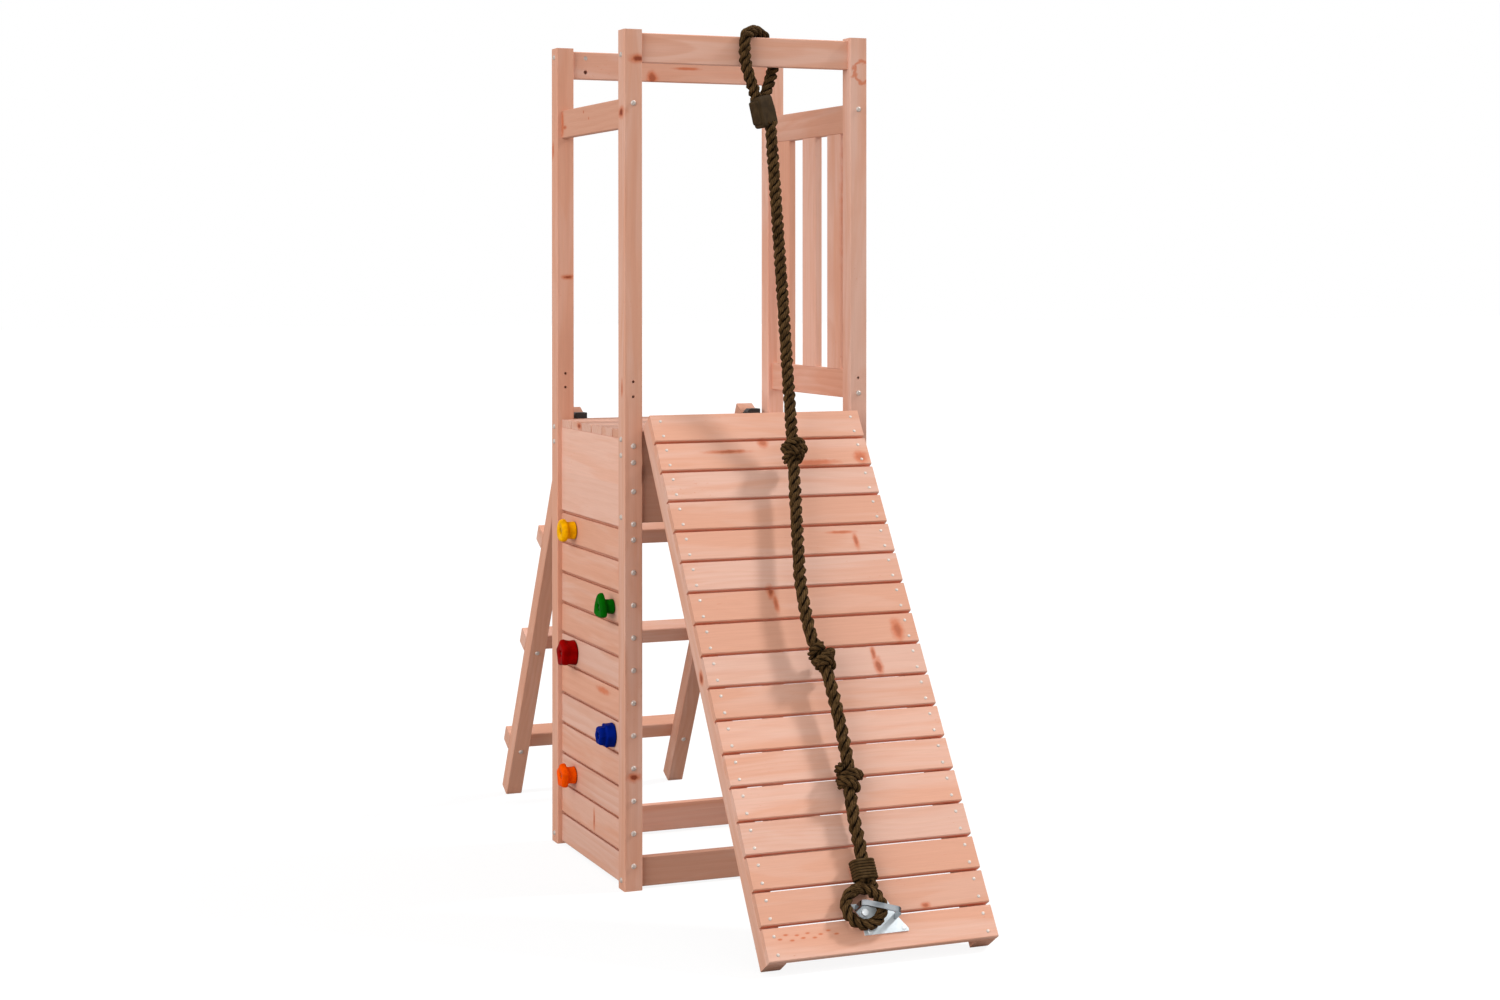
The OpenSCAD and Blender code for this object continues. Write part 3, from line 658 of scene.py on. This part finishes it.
def rope_loop(material):
    """Loop over the front beam, both legs running down into the clamp."""
    front = BEAM_LOW.y - ROPE_R - 2 * MM
    back = BEAM_HIGH.y + ROPE_R + 2 * MM
    top = BEAM_HIGH.z
    low = BEAM_LOW.z
    clamp_low, clamp_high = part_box("rope_ferrule")
    mid_x = (clamp_low.x + clamp_high.x) / 2
    entry = clamp_high.z - 14 * MM
    points = [
        (mid_x - 17 * MM, BEAM_Y - 12 * MM, entry - 14 * MM),
        (mid_x - 21 * MM, BEAM_Y - 14 * MM, entry + 12 * MM),
        (mid_x - 40 * MM, front + 2 * MM, low - 26 * MM),
        (mid_x - 51 * MM, front, low + 12 * MM),
        (mid_x - 52 * MM, front, top - 20 * MM),
        (mid_x - 47 * MM, front + 4 * MM, top + 4 * MM),
        (mid_x - 16 * MM, BEAM_Y, top + ROPE_R + 2 * MM),
        (mid_x + 16 * MM, back - 4 * MM, top + 4 * MM),
        (mid_x + 28 * MM, back, top - 20 * MM),
        (mid_x + 41 * MM, back, low + 6 * MM),
        (mid_x + 32 * MM, back - 8 * MM, low - 26 * MM),
        (mid_x + 12 * MM, BEAM_Y + 2 * MM, entry + 12 * MM),
        (mid_x + 4 * MM, BEAM_Y - 6 * MM, entry - 14 * MM),
    ]
    path = spline(points, 3.2 * MM)
    loop = rope_piece("rope_loop_strands", [strands(path, ROPE_R, UPPER_LAY, 1.1)], material)
    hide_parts("rope_loop")
    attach(loop, "rope_top")


# sideways, deep and high
CLAMP = (51 * MM, 36 * MM, 76 * MM)
CLAMP_TAPER = 0.92


def clamp_block(material):
    """Moulded clamp: a rounded block, narrower at the top, with a fold down its left side."""
    low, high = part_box("rope_ferrule")
    middle = (low + high) / 2
    bm = bmesh.new()
    bmesh.ops.create_cube(bm, size=1.0)
    for v in bm.verts:
        taper = CLAMP_TAPER if v.co.z > 0 else 1.0
        v.co.x *= CLAMP[0] * taper
        v.co.y *= CLAMP[1] * taper
        v.co.z *= CLAMP[2]
    bmesh.ops.bevel(bm, geom=bm.edges[:], offset=9 * MM, segments=4, profile=0.6, affect="EDGES")
    bmesh.ops.subdivide_edges(bm, edges=bm.edges[:], cuts=1, use_grid_fill=True)
    for v in bm.verts:
        swell = 1 + 0.07 * math.cos(v.co.z / CLAMP[2] * math.pi)
        v.co.x *= swell
        v.co.y *= swell
        ridge = 0.5 * MM * math.sin(v.co.x / (3.1 * MM)) * (1 if v.co.y < 0 else 0.4)
        v.co.y += ridge if abs(v.co.z) < 33 * MM else 0
    flap = bmesh.ops.create_cube(bm, size=1.0)["verts"]
    for v in flap:
        v.co.x = v.co.x * 20 * MM - 22 * MM
        v.co.y *= 30 * MM
        v.co.z = v.co.z * 58 * MM - 4 * MM - v.co.x * 0.15
    rims = list({edge for v in flap for edge in v.link_edges})
    bmesh.ops.bevel(bm, geom=rims, offset=7 * MM, segments=4, profile=0.6, affect="EDGES")
    turn = Matrix.Rotation(math.radians(-13), 4, "Y") @ Matrix.Rotation(math.radians(20), 4, "Z")
    bmesh.ops.transform(bm, matrix=turn, verts=bm.verts)
    bmesh.ops.translate(bm, vec=middle + Vector((0, 0, -2 * MM)), verts=bm.verts)
    mesh = bpy.data.meshes.new("rope_clamp")
    bm.to_mesh(mesh)
    bm.free()
    obj = bpy.data.objects.new("rope_clamp", mesh)
    bpy.context.scene.collection.objects.link(obj)
    mesh.materials.append(material)
    mesh.polygons.foreach_set("use_smooth", [True] * len(mesh.polygons))
    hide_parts("rope_ferrule")
    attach(obj, "rope_top")


def oval(t, wide, deep, power=2.6):
    """Rounded, slightly boxy ring: two coordinates for each angle."""
    c, s = np.cos(t), np.sin(t)
    return (np.sign(c) * np.abs(c) ** (2 / power) * wide, np.sign(s) * np.abs(s) ** (2 / power) * deep)


WHIP_X = -18 * MM
WHIP_LOW = 144 * MM
WHIP_TURNS = 7
WHIP_WIDE = 28 * MM
WHIP_DEEP = 18 * MM
CORD_R = 3.1 * MM


def whipping(material):
    """Turns of cord wound tightly round the two parts of the spliced eye."""
    wide, deep = WHIP_WIDE - CORD_R, WHIP_DEEP - CORD_R
    turns = []
    for turn in range(WHIP_TURNS):
        t = np.linspace(0, 2 * math.pi * 1.01, 90) + 0.4 * turn
        x, z = oval(t, wide, deep, 3.4)
        along = WHIP_LOW + CORD_R + turn * 2 * CORD_R
        path = np.array([on_ramp(WHIP_X + a, along, ROPE_LOW + b) for a, b in zip(x, z)])
        turns.append(tube(even(path, 2.4 * MM), CORD_R, 12, 5, 0.05, 900.0))
    for sign in (-1, 1):
        inside = WHIP_X + sign * 10 * MM
        leg = np.array([on_ramp(inside, along * MM, ROPE_LOW) for along in np.linspace(140, 187, 20)])
        turns.append(strands(leg, 12 * MM, 70 * MM, sign * 1.3))
    obj = rope_piece("rope_whipping_cord", turns, material)
    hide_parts("rope_whipping")
    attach(obj, "rope_end")


EYE_X = -36 * MM
EYE_ALONG = 88 * MM
EYE_RADIUS = 40 * MM
EYE_LIFT = 19 * MM


def rope_eye(material):
    """Spliced eye: the rope's strands run round the ring and tuck under the whipping."""
    start = math.radians(112)
    t = np.linspace(start, start - 2 * math.pi * 1.02, 130)
    ring = EYE_RADIUS * (1 + 0.03 * np.cos(2 * t))
    path = [on_ramp(EYE_X + r * math.cos(a), EYE_ALONG + r * math.sin(a),
                    EYE_LIFT + 1.5 * MM * math.sin(a)) for r, a in zip(ring, t)]
    path = even(np.array(path), 3 * MM)
    pieces = [strands(path, EYE_ROPE_R, UPPER_LAY, 0.7)]
    # two legs that run from the ring up into the whipping
    for sign, bend in ((-1, 0.75), (1, 0.35)):
        a = math.radians(90 - sign * 38)
        leg = [on_ramp(EYE_X + EYE_RADIUS * math.cos(a), EYE_ALONG + EYE_RADIUS * math.sin(a), EYE_LIFT),
               on_ramp(WHIP_X + sign * 14 * MM, 134 * MM, EYE_LIFT),
               on_ramp(WHIP_X + sign * 10 * MM, 152 * MM, EYE_LIFT)]
        pieces.append(strands(spline(leg, 3 * MM), 11.5 * MM, 56 * MM, bend))
    obj = rope_piece("rope_eye_splice", pieces, material)
    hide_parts("rope_eye")
    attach(obj, "rope_end")


# ---------- climbing holds ----------

# material, colour, corners of the head, their depth and turn, and the widths of the body and of
# the head as shares of the CAD hold's radius
HOLDS = {
    "hold_yellow": ("yellow_plastic", (0.92, 0.43, 0.0), 3, 0.04, 0.3, 0.78, 1.03),
    "hold_green": ("green_plastic", (0.001, 0.115, 0.001), 3, 0.17, 0.0, 0.64, 1.13),
    "hold_red": ("red_plastic", (0.260, 0.0, 0.0), 5, 0.10, 0.5, 1.10, 1.17),
    "hold_blue": ("blue_plastic", (0.0, 0.010, 0.185), 6, 0.08, 3.1, 1.03, 0.80),
    "hold_orange": ("orange_plastic", (0.95, 0.090, 0.0), 5, 0.09, 0.2, 0.76, 1.08),
}
# outlines of the body and of the head: place along the bolt and share of the radius
BODY = ((0.0, 0.94), (0.03, 1.0), (0.10, 1.0), (0.30, 0.96), (0.48, 0.97), (0.57, 1.0))
HEAD = ((0.60, 0.95), (0.68, 1.0), (0.82, 1.0), (0.93, 0.95), (0.985, 0.86), (1.0, 0.74), (0.985, 0.50),
        (0.97, 0.36), (0.94, 0.28), (0.80, 0.25), (0.78, 0.16))
# width of the bolt hole, which stays round
HOLE = 0.30
HOLD_SIDES = 72


def hold(name, slot, colour, lobes, depth, phase, body, head):
    """Hold: plain body against the wall and a lobed head with a sunk bolt hole."""
    low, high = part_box(name)
    middle = (low + high) / 2
    reach = high.x - low.x
    radius = (high.y - low.y) / 2
    verts, faces = [], []
    angle = np.linspace(0, 2 * math.pi, HOLD_SIDES, endpoint=False)
    outline = [(along, wide * body) for along, wide in BODY]
    outline += [(along, wide * (head if wide > HOLE else 1.0)) for along, wide in HEAD]
    for along, wide in outline:
        share = min(1.0, max(0.3, (along - 0.2) / 0.3)) * min(1.0, max(0.0, (wide - HOLE) / 0.4))
        corner = 1 - 2 * np.abs(np.sin(0.5 * (lobes * (angle - math.pi / 2) + phase)))
        wave = 1 + depth * share * (corner - 0.4)
        wave = wave * (1 + 0.02 * share * np.cos(2 * angle + 3 * phase))
        for a, w in zip(angle, wave):
            r = radius * wide * w
            verts.append((high.x - reach * along, middle.y + r * math.cos(a), middle.z + r * math.sin(a)))
    rings = len(outline)
    for i in range(rings - 1):
        for k in range(HOLD_SIDES):
            a, b = i * HOLD_SIDES + k, i * HOLD_SIDES + (k + 1) % HOLD_SIDES
            faces.append((a, a + HOLD_SIDES, b + HOLD_SIDES, b))
    faces.append(tuple(range(HOLD_SIDES)))
    last = (rings - 1) * HOLD_SIDES
    faces.append(tuple(reversed(range(last, last + HOLD_SIDES))))
    obj = new_object(name + "_moulding", verts, faces, plastic(slot, colour))
    bend = obj.modifiers.new("round", "SUBSURF")
    bend.levels = bend.render_levels = 1
    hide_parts(name)
    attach(obj, "tower")


# ---------- timber and hardware of the frame ----------

X, Y, Z = (1, 0, 0), (0, 1, 0), (0, 0, 1)
WALL_PITCH = 76.9 * MM
PLANK_COUNT = 6
PLANK_GAP = 3 * MM
RAILING_START = -240 * MM
RAILING_PITCH = 158 * MM
RUNG_PITCH = 334 * MM
LADDER_ANGLE = math.radians(27.6)
LADDER_UP = (0, -math.sin(LADDER_ANGLE), math.cos(LADDER_ANGLE))
LADDER_BACK = (0, math.cos(LADDER_ANGLE), math.sin(LADDER_ANGLE))


def dress(names, material):
    """Give CAD nodes a material."""
    for name in names:
        NODES[name].data.materials.clear()
        NODES[name].data.materials.append(material)


def on_slats(x, along, half_x, half_along, core=1.0, ring=0.0):
    """Knot on the ramp's face, in millimetres sideways and up the slope."""
    point = on_ramp(x * MM, along * MM, 0)
    place = (x * MM, float(point @ SLOPE), float(point @ FACE))
    return knot(place, (half_x * MM, half_along * MM, 30 * MM), core, ring)


# knots and stains of the ramp, then a row of small specks low on its left
SLAT_MARKS = (
    on_slats(-93, 1205, 40, 4, 0.45), on_slats(0, 1226, 10, 9, 0.35), on_slats(120, 1169, 44, 6, 0.10),
    on_slats(243, 1180, 13, 12, 0.25), on_slats(139, 982, 26, 3, 0.25), on_slats(174, 957, 5, 16, 0.45),
    on_slats(-70, 838, 7, 13, 0.8), on_slats(-63, 809, 5, 16, 0.45), on_slats(219, 727, 11, 20, 0.45),
    on_slats(144, 672, 5, 15, 0.5), on_slats(149, 640, 8, 17, 0.6), on_slats(115, 83, 8, 5, 0.5),
    *(on_slats(x, along, 4, 1.6, 0.1) for x, along in (
        (-232, 44), (-218, 52), (-206, 39), (-193, 49), (-180, 42), (-168, 51), (-154, 40), (-139, 46),
        (-121, 52), (-104, 43))),
)


def at(first, second, third, half, core=1.0, ring=0.0):
    """Knot of a board, place and half sizes in millimetres of board space."""
    return knot((first * MM, second * MM, third * MM), tuple(h * MM for h in half), core, ring)


# knots and stains of the frame, each in its own board's space
MARKS = {
    "post_front_left": (at(1961, -279, -284, (8, 17, 12), 1.0), at(1835, -314, -262, (11, 12, 15), 1.0),
                        at(268, -290, -284, (8, 12, 12), 1.0), at(1185, -314, -266, (16, 12, 4), 0.4)),
    "post_front_right": (at(1948, 306, -284, (27, 26, 20), 0.0, 0.9),),
    "post_back_left": (at(1446, -285, 238, (5, 13, 12), 0.95), at(1769, -314, 272, (16, 12, 6), 0.2)),
    "beam_back": (at(-51, 251, 1962, (12, 12, 14), 0.6), at(46, 251, 1989, (26, 12, 3), 0.1)),
    "rail_left": (at(232, -301, 1836, (9, 12, 24), 0.0), at(215, -301, 1826, (14, 12, 4), 0.3),
                  at(60, -301, 1856, (3, 12, 3), 0.4), at(20, -301, 1838, (3, 12, 3), 0.4)),
    "wall_boards": (at(-20, -301, 114, (5, 12, 20), 0.45), at(-89, -301, 443, (34, 12, 6), 0.0),
                    at(-215, -301, 745, (9, 12, 26), 0.0)),
    "deck_planks": (at(-303, 96, 1074, (24, 13, 7), 0.9),),
    "railing_slats": (at(1640, -194, 301, (170, 4, 12), 0.45), at(1744, 154, 301, (14, 13, 12), 0.0, 0.7),
                      at(1610, 160, 301, (90, 6, 12), 0.0)),
}
STRINGER_KNOT = Vector((-0.266, -0.664, 0.560))


def frame_boards(names, along, across, through, tones, seed):
    """One wood for each named board: its brightness and how far it leans to rose."""
    for i, (name, (value, lean)) in enumerate(zip(names, tones)):
        dress([name], wood("wood_" + name, along, across, through, value, marks=MARKS.get(name, ()),
                           seed=seed + 13 * i, lean=lean))


def frame_timber():
    """Posts, beams, rails and panels, each from its own board: brightness and lean to rose."""
    frame_boards(("post_front_left", "post_front_right", "post_back_left", "post_back_right"), Z, X, Y,
                 ((1.0, 0.1), (1.06, -0.4), (1.02, 0.1), (1.15, 0.1)), 1.0)
    # panel_front (0.70) and sill_front (0.78) are darkened as painted shade of the ramp; sill_back (1.34)
    # is lightened as painted light
    frame_boards(("beam_front", "beam_back", "panel_front", "deck_beam", "sill_front", "sill_back"),
                 X, Y, Z, ((1.12, -0.4), (1.04, 0.4), (0.70, 0.7), (1.0, 0.3), (0.78, 0.7), (1.34, 0.2)),
                 60.0)
    frame_boards(("rail_left", "rail_right_upper", "rail_right_lower", "panel_right", "sill_right"),
                 Y, X, Z, ((0.96, 0.9), (1.03, 0.3), (1.03, 0.3), (0.95, 0.3), (1.0, 0.3)), 170.0)
    frame_boards(("ladder_rail_left", "ladder_rail_right"), LADDER_UP, X, LADDER_BACK,
                 ((1.05, 0.1), (0.91, 0.2)), 460.0)
    place = (STRINGER_KNOT.dot(SLOPE), STRINGER_KNOT.x, STRINGER_KNOT.dot(FACE))
    MARKS["stringer_left"] = (knot(place, (12 * MM, 9 * MM, 9 * MM), 0.8),)
    frame_boards(("stringer_left", "stringer_right"), tuple(SLOPE), X, tuple(FACE),
                 ((1.05, 0.2), (1.0, 0.2)), 430.0)
    # the side panel is glued up from two boards that meet at this height
    joint = -48 * MM
    dress(["panel_left"], wood("wood_panel_left", Y, X, Z, 1.16, (2, joint, 1.0), seed=309.0,
                               contrast=0.6, lean=-0.2))


def row_timber():
    """Nodes that hold a row of boards: wall, deck, railing, ramp and rungs."""
    wall_low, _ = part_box("wall_boards")
    # the wall's grooves get painted shade
    dress(["wall_boards"], wood("wood_wall", Y, X, Z, 1.07, (2, wall_low.z, WALL_PITCH),
                                MARKS["wall_boards"], 333.0, gap_shade=0.9))
    deck_low, deck_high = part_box("deck_planks")
    plank_pitch = (deck_high.y - deck_low.y + PLANK_GAP) / PLANK_COUNT
    # the gaps between the deck's planks get painted shade in the stain colour
    dress(["deck_planks"], wood("wood_deck", X, Y, Z, 1.0, (1, deck_low.y, plank_pitch),
                                MARKS["deck_planks"], 350.0, gap_shade=0.9, gap_shade_colour=STAIN_AND_GAP_SHADE))
    dress(["railing_slats"], wood("wood_railing", Z, Y, X, 1.12, (1, RAILING_START, RAILING_PITCH),
                                  MARKS["railing_slats"], 370.0))
    low_edge = float(on_ramp(0, 0, 0) @ SLOPE) - 0.5 * (SLAT_PITCH - SLAT_WIDTH)
    # the slits between the slats get a lighter, redder painted shade
    dress(["ramp_slats"], wood("wood_slats", X, tuple(SLOPE), tuple(FACE), 1.02,
                               (1, low_edge, SLAT_PITCH), SLAT_MARKS, 407.0, 0.5,
                               gap_shade=0.9, gap_shade_colour=PAINTED_SLIT_SHADE))
    dress(["ladder_rungs"], wood("wood_rungs", X, LADDER_UP, LADDER_BACK, 1.0, (1, 0.0, RUNG_PITCH),
                                 seed=490.0))


def hardware():
    """Materials of the fasteners, brackets and anchor; the holds' bolts are black."""
    dress(["deck_screws", "ladder_bolts", "ramp_nails", "side_bolts", "end_bolts", "barrel_nuts"], zinc())
    dress(["ladder_brackets", "ramp_brackets", "hold_bolts"], black_coat())
    dress(["anchor_plate"], plate_steel("plate_steel", (0.62, 0.68, 0.71), (0.74, 0.79, 0.82)))
    dress(["anchor_screws"], plate_steel("stud_steel", (0.86, 0.90, 0.92), (0.95, 0.97, 0.98)))
    dress(["anchor_bow"], chrome())


# ---------- studio ----------

# name, direction towards the lamp, strength, apparent size in degrees
LAMPS = (
    ("key", (0.715, -0.113, 0.689), 2.35, 8),
    ("fill", (-0.86, -0.43, 0.26), 1.95, 50),
)


def sky():
    """White to the camera, soft grey as a light, and darker near the ground in reflections."""
    scene = bpy.context.scene
    scene.world = scene.world or bpy.data.worlds.new("studio")
    scene.world.use_nodes = True
    nodes, links = scene.world.node_tree.nodes, scene.world.node_tree.links
    nodes.clear()
    rays = nodes.new("ShaderNodeLightPath")
    split = nodes.new("ShaderNodeSeparateXYZ")
    links.new(nodes.new("ShaderNodeTexCoord").outputs["Generated"], split.inputs[0])
    band = nodes.new("ShaderNodeMapRange")
    links.new(split.outputs["Z"], band.inputs["Value"])
    # brightness in reflections from near the horizon to high up
    for name, setting in (("From Min", 0.10), ("From Max", 0.75), ("To Min", 0.08), ("To Max", 1.1)):
        band.inputs[name].default_value = setting
    soft = nodes.new("ShaderNodeMix")
    soft.inputs["A"].default_value = 0.64
    links.new(rays.outputs["Is Glossy Ray"], soft.inputs["Factor"])
    links.new(band.outputs["Result"], soft.inputs["B"])
    seen = nodes.new("ShaderNodeMix")
    seen.inputs["B"].default_value = 1.0
    links.new(rays.outputs["Is Camera Ray"], seen.inputs["Factor"])
    links.new(soft.outputs["Result"], seen.inputs["A"])
    light = nodes.new("ShaderNodeBackground")
    light.inputs["Color"].default_value = (1, 1, 1, 1)
    links.new(seen.outputs["Result"], light.inputs["Strength"])
    links.new(light.outputs[0], nodes.new("ShaderNodeOutputWorld").inputs["Surface"])


def floor_white():
    """Near-white floor that shows only a faint shadow and throws little light back up."""
    t = Tree("floor_white")
    cloud = t.noise(t.coordinates(), 0.6, 2)
    seen = t.nodes.new("ShaderNodeLightPath").outputs["Is Camera Ray"]
    colour = t.mix(seen, (0.40, 0.39, 0.38), t.mix(cloud, (0.15, 0.15, 0.15), (0.16, 0.16, 0.16)))
    material = t.finish(colour, 0.9, Specular_IOR_Level=0.0, Emission_Color=(1, 1, 1))
    t.put(t.surface.inputs["Emission Strength"], t.math("MULTIPLY", seen, 0.88))
    return material


def studio():
    """World, floor and the two lamps."""
    sky()
    reach = 60
    corners = [(-reach, -reach, 0), (reach, -reach, 0), (reach, reach, 0), (-reach, reach, 0)]
    sheet = bpy.data.meshes.new("studio_floor")
    sheet.from_pydata(corners, [], [(0, 1, 2, 3)])
    sheet.materials.append(floor_white())
    floor = bpy.data.objects.new("studio_floor", sheet)
    floor.location.z = -0.4 * MM
    bpy.context.scene.collection.objects.link(floor)
    for name, direction, strength, angle in LAMPS:
        lamp = bpy.data.lights.new(name, "SUN")
        lamp.energy = strength
        lamp.angle = math.radians(angle)
        obj = bpy.data.objects.new(name, lamp)
        obj.rotation_euler = Vector(direction).to_track_quat("Z", "Y").to_euler()
        bpy.context.scene.collection.objects.link(obj)
    bpy.context.scene.view_settings.view_transform = "Standard"


def camera():
    """Camera at standing height, a little left of the tower's front."""
    lens = bpy.data.cameras.new("camera")
    lens.sensor_width = 36
    lens.lens = 57.92
    lens.shift_y = -0.14167
    lens.clip_end = 200
    view = bpy.data.objects.new("camera", lens)
    view.location = (-2.1751, -5.6447, 1.4527)
    view.rotation_euler = (math.radians(90 - 0.31), math.radians(0.016), math.radians(-22.13))
    bpy.context.scene.collection.objects.link(view)
    bpy.context.scene.camera = view


# ---------- build ----------

frame_timber()
row_timber()
hardware()
ROPE = fibre_rope("rope_fibre", DARK_FIBRE, LIGHT_FIBRE)
CORD = fibre_rope("rope_cord", (0.066, 0.034, 0.011), (0.145, 0.084, 0.034), 160.0, 0.95)
rope_run(ROPE)
rope_loop(ROPE)
clamp_block(moulded_clamp())
whipping(CORD)
rope_eye(ROPE)
for hold_name, settings in HOLDS.items():
    hold(hold_name, *settings)
studio()
camera()
